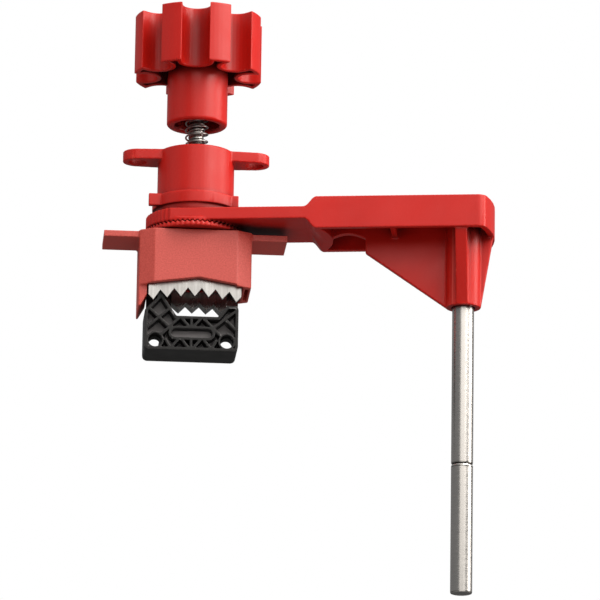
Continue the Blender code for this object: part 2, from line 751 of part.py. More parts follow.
def make_arm(material, body):
    """The blocking arm: toothed eye, tray, ribs, gusset and the rod's boss."""
    low, high = TRAY_HEIGHTS
    neck_low, neck_high = ARM_NECK
    arm = prism("blocking_arm", tray_outline(0.0), low, high)
    cut(arm, prism("pocket", tray_pocket(), low - MM, high - TRAY_WALL))
    ramp = [(SADDLE_RADII[0], low - MM)] + ease(SADDLE_RADII[0], SADDLE_RAMP, low, neck_low)
    ramp += [(0.0, neck_low), (0.0, low - MM)]
    cut(arm, lathe("ramp", ramp, 80, (SADDLE_CENTRE, 0.0)))
    under = ease(*LOWER_STEP, neck_low, low) + [(LOWER_STEP[1], low - MM), (40.0 * MM, low - MM)]
    under.append((40.0 * MM, neck_low))
    cut(arm, prism("under", under, -30.0 * MM, 30.0 * MM, "XZ"))
    over = ease(*UPPER_STEP, neck_high, high) + [(UPPER_STEP[1], high + MM), (40.0 * MM, high + MM)]
    over.append((40.0 * MM, neck_high))
    cut(arm, prism("over", over, -30.0 * MM, 30.0 * MM, "XZ"))
    add(arm, prism("neck", eye_outline(), neck_low, neck_high))
    ribs_low = low + 0.05 * MM
    inside = high - 0.5 * TRAY_WALL
    web_start = SADDLE_CENTRE + SADDLE_RADII[1] - MM
    gusset = [(web_start, inside)]
    for step in range(9):
        share = step / 8.0
        place = web_start + (GUSSET_START - web_start) * share
        gusset.append((place, ribs_low + WEB_ARCH * math.sin(math.pi * share)))
    gusset += [
        (GUSSET_START, GUSSET_DROP),
        (ROD_CENTRE - ROD_BOSS_RADIUS + 0.2 * MM, ROD_BOSS_BOTTOM + 0.05 * MM),
        (ROD_CENTRE + ROD_BOSS_RADIUS, ROD_BOSS_BOTTOM + 0.05 * MM),
        (TRAY_END - 0.6 * MM, ribs_low),
        (TRAY_END - 0.6 * MM, inside),
    ]
    add(arm, prism("gusset", gusset, -0.5 * WEB_THICKNESS, 0.5 * WEB_THICKNESS, "XZ"))
    reach = ARM_HALF_WIDTH - 0.5 * TRAY_WALL
    cross_rib = (CROSS_RIB - 1.2 * MM, CROSS_RIB + 1.2 * MM)
    add(arm, box("cross_rib", (cross_rib[0], -reach, ribs_low), (cross_rib[1], reach, inside)))
    brace = [
        (-reach, inside),
        (-reach, ribs_low),
        (-ROD_BOSS_RADIUS + 0.3 * MM, ROD_BOSS_BOTTOM + 0.1 * MM),
        (ROD_BOSS_RADIUS - 0.3 * MM, ROD_BOSS_BOTTOM + 0.1 * MM),
        (reach, ribs_low),
        (reach, inside),
    ]
    add(arm, prism("brace", brace, ROD_CENTRE - 2.6 * MM, ROD_CENTRE + 2.6 * MM, "YZ"))
    add(arm, cylinder("boss", ROD_BOSS_RADIUS, ROD_BOSS_BOTTOM, inside, 56, (ROD_CENTRE, 0.0)))
    teeth_low = INDEX_ROOT + 0.4 * MM
    teeth = toothed_ring("teeth", [(0.0, neck_low + MM)], neck_low - 0.05 * MM, teeth_low, 20.9 * MM, 0.0)
    teeth.data.transform(Matrix.Rotation(math.pi / INDEX_TEETH - math.radians(ARM_ANGLE), 4, "Z"))
    add(arm, teeth)
    eye_low = neck_low - 2.0 * MM
    cut(arm, cylinder("ring_space", RING_SPACE_RADIUS, eye_low, RETAINING_RING[1] + GAP, 36))
    cut(arm, cylinder("eye_bore", ARM_EYE_BORE, eye_low, neck_high + MM, 36))
    cut(arm, cylinder("rod_bore", ROD_RADIUS + GAP, MM, ROD_TOP + 0.4 * MM, 32, (ROD_CENTRE, 0.0)))
    screw_seat = [
        (0.0, ROD_TOP - MM),
        (2.4 * MM, ROD_TOP - MM),
        (2.4 * MM, high - 2.4 * MM),
        (4.8 * MM, high),
        (4.8 * MM, high + MM),
        (0.0, high + MM),
    ]
    cut(arm, lathe("screw_seat", screw_seat, 24, (ROD_CENTRE, 0.0)))
    return settle(arm, material, body)


def make_rods(material, stud_material, body):
    """The two-piece blocking rod, its joining stud and the screw that holds it."""
    centre = (ROD_CENTRE, 0.0)
    radius = ROD_RADIUS
    socket = STUD_RADIUS + GAP
    depth = 0.5 * STUD_LENGTH + MM
    low = ROD_JOINT + 0.5 * GAP
    upper = [
        (socket, low),
        (radius - ROD_CHAMFER, low),
        (radius, low + ROD_CHAMFER),
        (radius, ROD_TOP - ROD_CHAMFER),
        (radius - ROD_CHAMFER, ROD_TOP),
        (2.2 * MM, ROD_TOP),
        (2.2 * MM, ROD_TOP - 14.0 * MM),
        (0.0, ROD_TOP - 14.0 * MM),
        (0.0, ROD_JOINT + depth),
        (socket, ROD_JOINT + depth),
    ]
    settle(lathe("blocking_rod", upper, 32, centre), material, body)
    high = ROD_JOINT - 0.5 * GAP
    lower = [
        (0.0, ROD_END),
        (radius - ROD_CHAMFER, ROD_END),
        (radius, ROD_END + ROD_CHAMFER),
        (radius, high - ROD_CHAMFER),
        (radius - ROD_CHAMFER, high),
        (socket, high),
        (socket, ROD_JOINT - depth),
        (0.0, ROD_JOINT - depth),
    ]
    settle(lathe("rod_extension", lower, 32, centre), material, body)
    half = 0.5 * STUD_LENGTH
    stud = cylinder("rod_stud", STUD_RADIUS, ROD_JOINT - half, ROD_JOINT + half, 16, centre)
    settle(stud, stud_material, body)
    top = TRAY_HEIGHTS[1]
    screw = [
        (0.0, ROD_TOP - 12.0 * MM),
        (1.9 * MM, ROD_TOP - 12.0 * MM),
        (1.9 * MM, top - 2.5 * MM),
        (4.3 * MM, top - 0.3 * MM),
        (0.0, top - 0.3 * MM),
    ]
    rod_screw = lathe("rod_screw", screw, 24, centre)
    cut(rod_screw, prism("socket", circle(1.7 * MM, 6, centre), top - 2.0 * MM, top + MM))
    settle(rod_screw, stud_material, body)


# ----------------------------------------------------------------------- jaws


def jaw_outline():
    """The lower jaw's front view: block, notch, right-hand horn and left-hand tang."""
    corner = 2.2 * MM
    horn = 1.8 * MM
    points = arc((JAW_RIGHT - corner, JAW_BOTTOM + corner), corner, -90.0, 0.0, 4)
    points += arc((JAW_RIGHT - horn, JAW_RIGHT_TOP - horn), horn, 0.0, 90.0, 4)
    points += [(NOTCH_MOUTH, JAW_RIGHT_TOP), (NOTCH_FLOOR[1], 0.0), (NOTCH_FLOOR[0], 0.0)]
    points += [(TANG_EDGE - 0.6 * MM, 8.0 * MM), (TANG_EDGE, 9.5 * MM), (TANG_EDGE, TANG_TOP)]
    points += [(TANG_OUTER, TANG_TOP), (TANG_OUTER, 15.0 * MM), (NECK_EDGE, 13.5 * MM)]
    points += [(NECK_EDGE, 7.9 * MM), (JAW_LEFT, JAW_LEFT_TOP)]
    points += arc((JAW_LEFT + corner, JAW_BOTTOM + corner), corner, 180.0, 270.0, 4)
    return points


def jaw_pocket_outline():
    """The pocketed field inside the block's rim, below the tang."""
    points = inset(jaw_outline(), JAW_RIM)
    return [(x, z) for x, z in points if z < 8.5 * MM]


def rib_bar(start, end, low, high):
    """A straight rib between two places on the jaw's face."""
    first = Vector(start)
    second = Vector(end)
    along = (second - first).normalized() * 0.4 * MM
    across = Vector((-along.y, along.x)).normalized() * 0.5 * JAW_RIB
    first = first - along
    second = second + along
    outline = [first - across, second - across, second + across, first + across]
    return prism("rib", [tuple(point) for point in outline], low, high, "XZ")


def jaw_ribs():
    """The truss of ribs on the jaw's face, as pairs of end points."""
    half_truss = [
        ((4.2, -1.0), (1.0, -4.6)),
        ((5.4, -0.9), (12.8, -8.4)),
        ((4.0, -10.6), (0.9, -14.4)),
        ((5.6, -10.6), (8.8, -14.4)),
        ((11.0, -10.8), (9.0, -14.4)),
    ]
    ribs = [((0.0, -0.9), (0.0, -5.2)), ((0.0, -10.2), (0.0, -14.4))]
    for (x0, z0), (x1, z1) in half_truss:
        ribs.append(((x0, z0), (x1, z1)))
        ribs.append(((-x0, z0), (-x1, z1)))
    ribs += [((9.8, -4.9), (19.4, 2.9)), ((14.7, -1.0), (19.6, -5.8))]
    ribs += [((-9.6, -4.9), (-18.6, 3.4)), ((-19.8, -5.9), (-10.2, 2.7))]
    placed = []
    for (x0, z0), (x1, z1) in ribs:
        placed.append(((JAW_SHIFT + x0 * MM, z0 * MM), (JAW_SHIFT + x1 * MM, z1 * MM)))
    return placed


def stadium(half_length, radius, steps=6):
    """A long slot outline centred on the stadium pocket."""
    left = (STADIUM_CENTRE[0] - half_length, STADIUM_CENTRE[1])
    right = (STADIUM_CENTRE[0] + half_length, STADIUM_CENTRE[1])
    return arc(right, radius, -90.0, 90.0, steps) + arc(left, radius, 90.0, 270.0, steps)


def make_lower_jaw(material):
    """The nylon lower jaw, pocketed front and back, with two bossed holes in its front."""
    half = JAW_HALF_DEPTH
    jaw = prism("lower_jaw", jaw_outline(), -half, half, "XZ")
    web = (-half + JAW_POCKET, -half + JAW_POCKET + JAW_WEB)
    for outside, floor in ((-half - MM, web[0]), (half + MM, web[1])):
        pocket = prism("pocket", jaw_pocket_outline(), min(outside, floor), max(outside, floor), "XZ")
        for start, end in jaw_ribs():
            cut(pocket, rib_bar(start, end, min(outside, floor) - MM, max(outside, floor) + MM))
        island = prism("island", stadium(STADIUM_HALF, 3.1 * MM), -20.0 * MM, 20.0 * MM, "XZ")
        cut(pocket, island)
        for x in JAW_HOLE_X:
            ring = circle(JAW_RING_RADIUS, 28, (x, JAW_HOLE_Z))
            cut(pocket, prism("ring", ring, -20.0 * MM, 0.0, "XZ"))
        cut(jaw, pocket)
        slot_floor = floor - math.copysign(1.5 * MM, floor - outside)
        slot = stadium(STADIUM_HALF, 1.9 * MM)
        cut(jaw, prism("slot", slot, min(outside, slot_floor), max(outside, slot_floor), "XZ"))
    for x in JAW_HOLE_X:
        mouth = circle(JAW_MOUTH_RADIUS, 28, (x, JAW_HOLE_Z))
        cut(jaw, prism("mouth", mouth, -half - MM, web[0] - MM, "XZ"))
        hole = circle(JAW_HOLE_RADIUS, 28, (x, JAW_HOLE_Z))
        cut(jaw, prism("hole", hole, -20.0 * MM, 20.0 * MM, "XZ"))
    for height in JAW_SCREW_HEIGHTS:
        cut(jaw, cross_pin("bore", 2.0 * MM, (0.0, height), -21.0 * MM, -14.2 * MM, 12, "YZ"))
    return settle(jaw, material, None)


def make_jaw_screws(material):
    """The two screws that hold the lower jaw's tang to the housing."""
    for number, height in enumerate(JAW_SCREW_HEIGHTS, start=1):
        name = f"lower_jaw_screw_{number}"
        place = (0.0, height)
        screw = cross_pin(name, 3.0 * MM, place, -24.3 * MM, -22.7 * MM, 16, "YZ")
        shank = cross_pin("shank", 1.7 * MM, place, -23.0 * MM, -14.5 * MM, 12, "YZ")
        settle(add(screw, shank), material, None)


def tooth_edge(left, right, teeth):
    """The arched saw-tooth edge of a jaw plate, from left to right."""
    tip, root = teeth

    def height(x):
        phase = abs(x / TOOTH_PITCH) % 1.0
        valley = 1.0 - abs(2.0 * phase - 1.0)
        arch = TOOTH_ARCH * (x / (15.0 * MM)) ** 2
        return tip + (root - tip) * valley - arch

    half_pitch = 0.5 * TOOTH_PITCH
    inner = [k * half_pitch for k in range(-7, 8) if left + 0.2 * MM < k * half_pitch < right - 0.2 * MM]
    return [(x, height(x)) for x in [left] + inner + [right]]


def jaw_plate(name, left, right, low, high, teeth):
    """One toothed steel plate standing in the X-Z plane, with its rivet holes."""
    outline = tooth_edge(left, right, teeth) + [(right, PLATE_TOP), (left, PLATE_TOP)]
    plate = prism(name, outline, low, high, "XZ")
    for x in RIVET_X:
        if left < x < right:
            hole = circle(RIVET_RADIUS + 0.25 * MM, 12, (x, RIVET_Z))
            cut(plate, prism("hole", hole, low - MM, high + MM, "XZ"))
    return plate


def make_jaw_plates(material, body):
    """The front toothed plate, and the stack of toothed plates at the back."""
    reach = PLATE_HALF_WIDTH
    front = jaw_plate("front_jaw_plate", -reach, reach, -PLATE_OUTER, -PLATE_INNER, FRONT_TEETH)
    settle(front, material, body)
    thickness = PLATE_OUTER - PLATE_INNER
    for place in range(REAR_PLATES):
        high = PLATE_OUTER - place * (thickness + GAP)
        if place == 0:
            left, right = -reach, reach
        else:
            left, right = STACK_SPAN
        name = f"rear_jaw_plate_{place + 1}"
        plate = jaw_plate(name, left, right, high - thickness, high, REAR_TEETH)
        settle(plate, material, body)


def make_carrier(material, body):
    """The block that carries the toothed plates and hangs on the screw's neck."""
    low, high = CARRIER
    rear = PLATE_OUTER - REAR_PLATES * (PLATE_OUTER - PLATE_INNER + GAP)
    carrier = box("jaw_carrier", (CARRIER_SPAN[0], -PLATE_INNER + GAP, low), (CARRIER_SPAN[1], rear, high))
    cut(carrier, cylinder("clip_space", 5.0 * MM, low - MM, low + 2.2 * MM, 28))
    cut(carrier, cylinder("neck_way", SCREW_NECK + GAP, low - MM, high + MM, 20))
    for x in RIVET_X:
        hole = circle(RIVET_RADIUS + 0.25 * MM, 12, (x, RIVET_Z))
        cut(carrier, prism("hole", hole, -15.0 * MM, 15.0 * MM, "XZ"))
    return settle(carrier, material, body)


def make_rivets(material, body):
    """Two long rivets through the plates and the carrier."""
    for number, x in enumerate(RIVET_X, start=1):
        ring = circle(RIVET_RADIUS, 12, (x, RIVET_Z))
        rivet = prism(f"jaw_rivet_{number}", ring, -PLATE_OUTER + 0.1 * MM, PLATE_OUTER - 0.1 * MM, "XZ")
        settle(rivet, material, body)


def make_carrier_washer(material, body):
    """The thrust washer between the carrier and the screw's shoulder."""
    low = CARRIER[1] + GAP
    high = CARRIER[1] + 1.0 * MM
    profile = [(2.9 * MM, low), (6.5 * MM, low), (6.5 * MM, high), (2.9 * MM, high)]
    return settle(lathe("thrust_washer", profile, 28), material, body)


def make_clip(material, body):
    """The clip in the screw's groove, under the carrier."""
    low = CARRIER[0] + 1.05 * MM
    outline = arc((0.0, 0.0), 4.6 * MM, -60.0, 240.0, 22)
    outline += arc((0.0, 0.0), 2.35 * MM, 240.0, -60.0, 16)
    return settle(prism("screw_clip", outline, low, low + 0.8 * MM), material, body)


# ------------------------------------------------------------------ the clamp


def build():
    """Make every piece and hang the moving ones on their pivots."""
    clear_scene()
    red = finish("moulded_red", RED, 0.42, 0.0)
    grained = finish("grained_red", RED_GRAINED, 0.55, 0.0)
    black = finish("black_nylon", BLACK, 0.45, 0.0)
    steel = finish("turned_steel", STEEL, 0.28, 1.0)
    bright = finish("bright_steel", BRIGHT_STEEL, 0.25, 1.0)
    brass = finish("brass", BRASS, 0.35, 1.0)

    jaw_slide = pivot("jaw_slide")
    knob_axis = pivot("knob_axis", KNOB_TWIST)
    knob_axis.parent = jaw_slide
    collar_slide = pivot("collar_slide")
    arm_axis = pivot("arm_axis", ARM_ANGLE)
    arm_axis.parent = collar_slide

    make_hand_knob(red, knob_axis)
    make_knob_nut(steel, knob_axis)
    make_knob_washer(bright, knob_axis)
    make_knob_cap(red, knob_axis)
    make_screw(steel, knob_axis)

    make_spring(bright)
    make_spring_washer(steel)
    make_screw_nut(brass)
    make_housing(grained)
    make_index_ring(red)
    make_index_ring_screws(steel)
    make_lower_jaw(black)
    make_jaw_screws(steel)

    make_collar(red, collar_slide)
    make_retaining_ring(steel, collar_slide)
    make_arm(red, arm_axis)
    make_rods(steel, bright, arm_axis)

    make_jaw_plates(bright, jaw_slide)
    make_carrier(red, jaw_slide)
    make_rivets(steel, jaw_slide)
    make_carrier_washer(bright, jaw_slide)
    make_clip(steel, jaw_slide)


build()
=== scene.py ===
"""The looks of the valve lockout clamp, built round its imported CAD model.

Every length is in metres and every place comes from the CAD nodes. The moulded
pieces are rounded copies of their CAD solids; the screw, the spring, the rods,
the knob's cap and the small screws are made here from their nodes' boxes.
"""

import json
import math

import bmesh
import bpy
from mathutils import Matrix, Vector

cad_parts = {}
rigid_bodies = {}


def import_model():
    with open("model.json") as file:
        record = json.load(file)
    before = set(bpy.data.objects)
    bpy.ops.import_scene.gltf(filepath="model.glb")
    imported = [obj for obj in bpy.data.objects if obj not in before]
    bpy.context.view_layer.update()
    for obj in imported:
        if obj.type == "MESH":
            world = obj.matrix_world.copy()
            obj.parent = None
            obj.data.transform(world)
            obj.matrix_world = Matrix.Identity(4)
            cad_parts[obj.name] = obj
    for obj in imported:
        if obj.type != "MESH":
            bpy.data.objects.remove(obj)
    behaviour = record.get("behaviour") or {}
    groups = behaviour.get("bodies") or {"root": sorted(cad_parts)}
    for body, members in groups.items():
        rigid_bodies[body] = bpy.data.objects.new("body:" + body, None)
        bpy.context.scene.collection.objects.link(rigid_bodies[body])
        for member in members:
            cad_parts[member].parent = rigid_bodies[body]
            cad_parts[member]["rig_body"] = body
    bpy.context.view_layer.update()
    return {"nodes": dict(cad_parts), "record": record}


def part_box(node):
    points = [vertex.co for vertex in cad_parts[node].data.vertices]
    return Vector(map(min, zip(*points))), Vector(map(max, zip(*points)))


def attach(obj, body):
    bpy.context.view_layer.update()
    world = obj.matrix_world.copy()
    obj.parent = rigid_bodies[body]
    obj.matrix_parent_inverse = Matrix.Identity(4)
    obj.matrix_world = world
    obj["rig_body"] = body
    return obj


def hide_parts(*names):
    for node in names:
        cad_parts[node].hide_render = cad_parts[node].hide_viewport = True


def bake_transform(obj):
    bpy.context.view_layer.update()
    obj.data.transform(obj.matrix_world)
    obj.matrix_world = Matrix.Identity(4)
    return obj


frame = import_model()

MM = 0.001
WELD = 1e-6
SENSOR_WIDTH = 36.0

# Rounded edges: steps in each, the least angle in degrees that is rounded, and
# the greatest angle that still counts as flat
ROUNDED_SEGMENTS = 2
ROUNDED_ANGLE = 32.0
FLAT_ANGLE = 0.6

# Threads: the clamp screw's and the rod stud's
SCREW_PITCH = 2.5 * MM
SCREW_THREAD = 0.62 * MM
STUD_PITCH = 1.0 * MM
STUD_THREAD = 0.45 * MM

# Camera: where it looks from, in degrees, and how far away it stands
CAMERA_YAW = 3.93
CAMERA_PITCH = 14.86
CAMERA_ROLL = -0.86
CAMERA_DISTANCE = 2.5
CAMERA_FOCAL_WIDTHS = 9.5566
CAMERA_TARGET = Vector((0.04738, 0.0, -0.01212))
CAMERA_AIM = Vector((-0.00073, 0.02305))


# ---------------------------------------------------------------- mesh tools


def linked(mesh, name):
    """A new object for a mesh, in the scene."""
    piece = bpy.data.objects.new(name, mesh)
    bpy.context.collection.objects.link(piece)
    return piece


def shaded(bm, name, sharp_angle=35.0):
    """Turn a bmesh into an object with smooth faces and sharp creases."""
    bmesh.ops.recalc_face_normals(bm, faces=bm.faces)
    mesh = bpy.data.meshes.new(name)
    bm.to_mesh(mesh)
    bm.free()
    mesh.shade_smooth()
    mesh.set_sharp_from_angle(angle=math.radians(sharp_angle))
    return linked(mesh, name)


def weigh_normals(piece):
    """Keep flat faces flat beside their rounded edges."""
    modifier = piece.modifiers.new("Even normals", "WEIGHTED_NORMAL")
    modifier.keep_sharp = True
    modifier.weight = 60
    return piece


def moulded_copy(node, name, cell, kept):
    """A copy of a CAD node with soft moulded edges: remade in small cells, relaxed and thinned."""
    mesh = frame["nodes"][node].data.copy()
    bm = bmesh.new()
    bm.from_mesh(mesh)
    bmesh.ops.remove_doubles(bm, verts=bm.verts, dist=WELD)
    bm.to_mesh(mesh)
    bm.free()
    piece = linked(mesh, name)
    remade = piece.modifiers.new("Cells", "REMESH")
    remade.mode = "VOXEL"
    remade.voxel_size = cell
    relaxed = piece.modifiers.new("Relaxed", "SMOOTH")
    relaxed.factor = 0.5
    relaxed.iterations = 4
    thinned = piece.modifiers.new("Thinned", "DECIMATE")
    thinned.ratio = kept
    result = piece.evaluated_get(bpy.context.evaluated_depsgraph_get())
    smooth = bpy.data.meshes.new_from_object(result)
    piece.modifiers.clear()
    piece.data = smooth
    bpy.data.meshes.remove(mesh)
    smooth.name = name
    smooth.shade_smooth()
    return piece


def rounded_copy(node, name, width):
    """A copy of a CAD node whose flats are whole and whose edges are rounded."""
    bm = bmesh.new()
    bm.from_mesh(frame["nodes"][node].data)
    bmesh.ops.remove_doubles(bm, verts=bm.verts, dist=WELD)
    bmesh.ops.dissolve_limit(
        bm, angle_limit=math.radians(FLAT_ANGLE), verts=bm.verts, edges=bm.edges
    )
    limit = math.radians(ROUNDED_ANGLE)
    sharp = [e for e in bm.edges if e.is_manifold and e.calc_face_angle(0.0) > limit]
    bmesh.ops.bevel(
        bm,
        geom=sharp,
        offset=width,
        offset_type="OFFSET",
        segments=ROUNDED_SEGMENTS,
        profile=0.6,
        affect="EDGES",
        clamp_overlap=False,
        miter_outer="SHARP",
        miter_inner="SHARP",
    )
    piece = shaded(bm, name, 50.0)
    return weigh_normals(piece)


def turned(name, profile, steps, centre=(0.0, 0.0), sharp_angle=35.0):
    """Turn a closed (radius, height) profile round a vertical line."""
    bm = bmesh.new()
    rings = []
    for radius, height in profile:
        if radius < WELD:
            rings.append([bm.verts.new((centre[0], centre[1], height))] * steps)
            continue
        ring = []
        for step in range(steps):
            angle = 2.0 * math.pi * step / steps
            x = centre[0] + radius * math.cos(angle)
            y = centre[1] + radius * math.sin(angle)
            ring.append(bm.verts.new((x, y, height)))
        rings.append(ring)
    for index, lower in enumerate(rings):
        upper = rings[(index + 1) % len(rings)]
        for step in range(steps):
            after = (step + 1) % steps
            corners = [lower[step], lower[after], upper[after], upper[step]]
            distinct = list(dict.fromkeys(corners))
            if len(distinct) > 2:
                bm.faces.new(distinct)
    return shaded(bm, name, sharp_angle)


def carve(piece, tool):
    """Cut a tool's shape out of a piece and drop the tool."""
    modifier = piece.modifiers.new("Cut", "BOOLEAN")
    modifier.operation = "DIFFERENCE"
    modifier.object = tool
    modifier.solver = "EXACT"
    result = piece.evaluated_get(bpy.context.evaluated_depsgraph_get())
    mesh = bpy.data.meshes.new_from_object(result)
    piece.modifiers.clear()
    piece.data = mesh
    bpy.data.objects.remove(tool, do_unlink=True)
    mesh.shade_smooth()
    mesh.set_sharp_from_angle(angle=math.radians(35.0))
    return piece


def centre_of(node):
    """The middle of a node's box in plan, as (x, y)."""
    low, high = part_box(node)
    return (0.5 * (low.x + high.x), 0.5 * (low.y + high.y))


# ----------------------------------------------------------------- materials


class Paint:
    """Builds one procedural material, node by node, in the piece's own space."""

    def __init__(self, name):
        self.material = bpy.data.materials.new(name)
        self.material.use_nodes = True
        self.tree = self.material.node_tree
        self.shader = self.tree.nodes["Principled BSDF"]
        self.place = self.tree.nodes.new("ShaderNodeTexCoord").outputs["Object"]

    def node(self, kind, **values):
        made = self.tree.nodes.new(kind)
        for key, value in values.items():
            setattr(made, key, value)
        return made

    def link(self, source, target):
        self.tree.links.new(source, target)

    def stretched(self, scale):
        """The piece's own coordinates, stretched along each axis."""
        mapping = self.node("ShaderNodeMapping")
        mapping.inputs["Scale"].default_value = scale
        self.link(self.place, mapping.inputs["Vector"])
        return mapping.outputs["Vector"]

    def noise(self, scale, detail=4.0, roughness=0.55, stretch=None):
        texture = self.node("ShaderNodeTexNoise")
        texture.inputs["Scale"].default_value = scale
        texture.inputs["Detail"].default_value = detail
        texture.inputs["Roughness"].default_value = roughness
        vector = self.place if stretch is None else self.stretched(stretch)
        self.link(vector, texture.inputs["Vector"])
        return texture.outputs["Fac"]

    def cells(self, scale):
        texture = self.node("ShaderNodeTexVoronoi", feature="F1")
        texture.inputs["Scale"].default_value = scale
        self.link(self.place, texture.inputs["Vector"])
        return texture.outputs["Distance"]

    def spread(self, value, low, high, start=0.3, end=0.7):
        """Map a texture's middle range to a range of values."""
        ramp = self.node("ShaderNodeMapRange")
        ramp.inputs["From Min"].default_value = start
        ramp.inputs["From Max"].default_value = end
        ramp.inputs["To Min"].default_value = low
        ramp.inputs["To Max"].default_value = high
        self.link(value, ramp.inputs["Value"])
        return ramp.outputs["Result"]

    def mixed(self, share, first, second):
        """Blend two colours, or a colour socket and a colour, by a texture."""
        mix = self.node("ShaderNodeMix", data_type="RGBA")
        self.link(share, mix.inputs["Factor"])
        for socket, colour in ((mix.inputs[6], first), (mix.inputs[7], second)):
            if isinstance(colour, tuple):
                socket.default_value = (*colour, 1.0)
            else:
                self.link(colour, socket)
        return mix.outputs[2]

    def painted_shade_share(self, reach, low, high):
        """A share from 0 deep in hollows to 1 out in the open, by which shade is painted into hollows.
        """
        hidden = self.node("ShaderNodeAmbientOcclusion", samples=8)
        hidden.inputs["Distance"].default_value = reach
        return self.spread(hidden.outputs["AO"], 0.0, 1.0, low, high)

    def edge_wear_and_sheen(self, low, high):
        """A share from 0 to 1 on outward edges, where handling wears them and where a highlight is
        painted.
        """
        geometry = self.node("ShaderNodeNewGeometry")
        return self.spread(geometry.outputs["Pointiness"], 0.0, 1.0, low, high)

    def bumped(self, heights):
        """Stack (height, strength, distance) bumps on the surface."""
        normal = None
        for height, strength, distance in heights:
            bump = self.node("ShaderNodeBump")
            bump.inputs["Strength"].default_value = strength
            bump.inputs["Distance"].default_value = distance
            self.link(height, bump.inputs["Height"])
            if normal is not None:
                self.link(normal, bump.inputs["Normal"])
            normal = bump.outputs["Normal"]
        self.link(normal, self.shader.inputs["Normal"])

    def colour(self, socket):
        self.link(socket, self.shader.inputs["Base Color"])

    def rough(self, socket):
        self.link(socket, self.shader.inputs["Roughness"])


def scaled(colour, share):
    """A colour made lighter or darker."""
    return tuple(min(1.0, part * share) for part in colour)


def moulded_plastic(name, base, edge, gloss):
    """Satin moulded plastic: faint flow marks, fine skin, edges paler with wear and a painted highlight,
    and painted shade in its hollows.
    """
    paint = Paint(name)
    flow = paint.noise(28.0, 5.0, 0.6, (1.0, 1.0, 0.35))
    colour = paint.mixed(paint.spread(flow, 0.0, 1.0), scaled(base, 0.90), scaled(base, 1.07))
    specks = paint.spread(paint.noise(1400.0, 2.0), 0.0, 0.16, 0.55, 0.8)
    colour = paint.mixed(specks, colour, edge)
    # Edges paler: wear, with a painted highlight.
    colour = paint.mixed(paint.edge_wear_and_sheen(0.52, 0.62), colour, edge)
    # Painted shade: hollows darkened towards a deep red.
    colour = paint.mixed(paint.painted_shade_share(11.0 * MM, 0.26, 0.89), PAINTED_SHADE_RED, colour)
    paint.colour(colour)
    paint.rough(paint.spread(paint.noise(90.0, 4.0), gloss - 0.05, gloss + 0.07))
    skin = paint.noise(900.0, 3.0)
    paint.bumped([(flow, 0.10, 0.3 * MM), (skin, 0.10, 0.05 * MM)])
    paint.shader.inputs["Specular IOR Level"].default_value = 0.36
    return paint.material


def grained_plastic(name, base, edge):
    """Leather-fine grain on the housing, paler in flecks of its grain."""
    paint = Paint(name)
    grain = paint.noise(1500.0, 3.0, 0.65)
    cells = paint.cells(1100.0)
    patches = paint.noise(60.0, 4.0)
    colour = paint.mixed(paint.spread(grain, 0.0, 1.0, 0.35, 0.68), scaled(base, 0.90), edge)
    colour = paint.mixed(paint.spread(patches, 0.0, 0.28), colour, scaled(base, 0.92))
    # Edges paler: wear, with a painted highlight.
    colour = paint.mixed(paint.edge_wear_and_sheen(0.53, 0.64), colour, scaled(edge, 1.08))
    paint.colour(colour)
    paint.rough(paint.spread(grain, 0.46, 0.60))
    paint.shader.inputs["Specular IOR Level"].default_value = 0.85
    paint.bumped([(cells, 0.15, 0.10 * MM), (grain, 0.22, 0.10 * MM)])
    return paint.material


def painted_light_pocket_floors(paint, depth):
    """A share of 1 on faces that look along Y and lie nearer to the middle than a depth: the pocket
    floors where light is painted.
    """
    split = paint.node("ShaderNodeSeparateXYZ")
    paint.link(paint.place, split.inputs["Vector"])
    away = paint.node("ShaderNodeMath", operation="ABSOLUTE")
    paint.link(split.outputs["Y"], away.inputs[0])
    near = paint.spread(away.outputs["Value"], 1.0, 0.0, depth - MM, depth)
    normal = paint.node("ShaderNodeSeparateXYZ")
    facing = paint.tree.nodes.new("ShaderNodeTexCoord").outputs["Normal"]
    paint.link(facing, normal.inputs["Vector"])
    along = paint.node("ShaderNodeMath", operation="ABSOLUTE")
    paint.link(normal.outputs["Y"], along.inputs[0])
    flat = paint.spread(along.outputs["Value"], 0.0, 1.0, 0.75, 0.97)
    both = paint.node("ShaderNodeMath", operation="MULTIPLY")
    paint.link(near, both.inputs[0])
    paint.link(flat, both.inputs[1])
    return both.outputs["Value"]


def black_nylon(name):
    """Glass-filled nylon: nearly black, with pale streaks, edges paler with scuffing and a painted
    highlight, and front-facing pocket floors painted paler as if lit.
    """
    paint = Paint(name)
    streaks = paint.noise(260.0, 5.0, 0.7, (1.0, 1.0, 0.4))
    colour = paint.mixed(paint.spread(streaks, 0.0, 1.0), (0.005, 0.005, 0.005), (0.012, 0.0117, 0.012))
    # Edges paler: scuffing, with a painted highlight.
    colour = paint.mixed(paint.edge_wear_and_sheen(0.52, 0.59), colour, (0.15, 0.146, 0.148))
    # Painted light: pocket floors facing along Y made paler, as if lit from the front.
    colour = paint.mixed(painted_light_pocket_floors(paint, 8.5 * MM), colour, (0.24, 0.225, 0.23))
    paint.colour(colour)
    paint.rough(paint.spread(paint.noise(120.0, 4.0), 0.36, 0.50))
    paint.shader.inputs["Specular IOR Level"].default_value = 0.36
    paint.bumped([(streaks, 0.12, 0.1 * MM), (paint.noise(1600.0, 2.0), 0.12, 0.05 * MM)])
    return paint.material


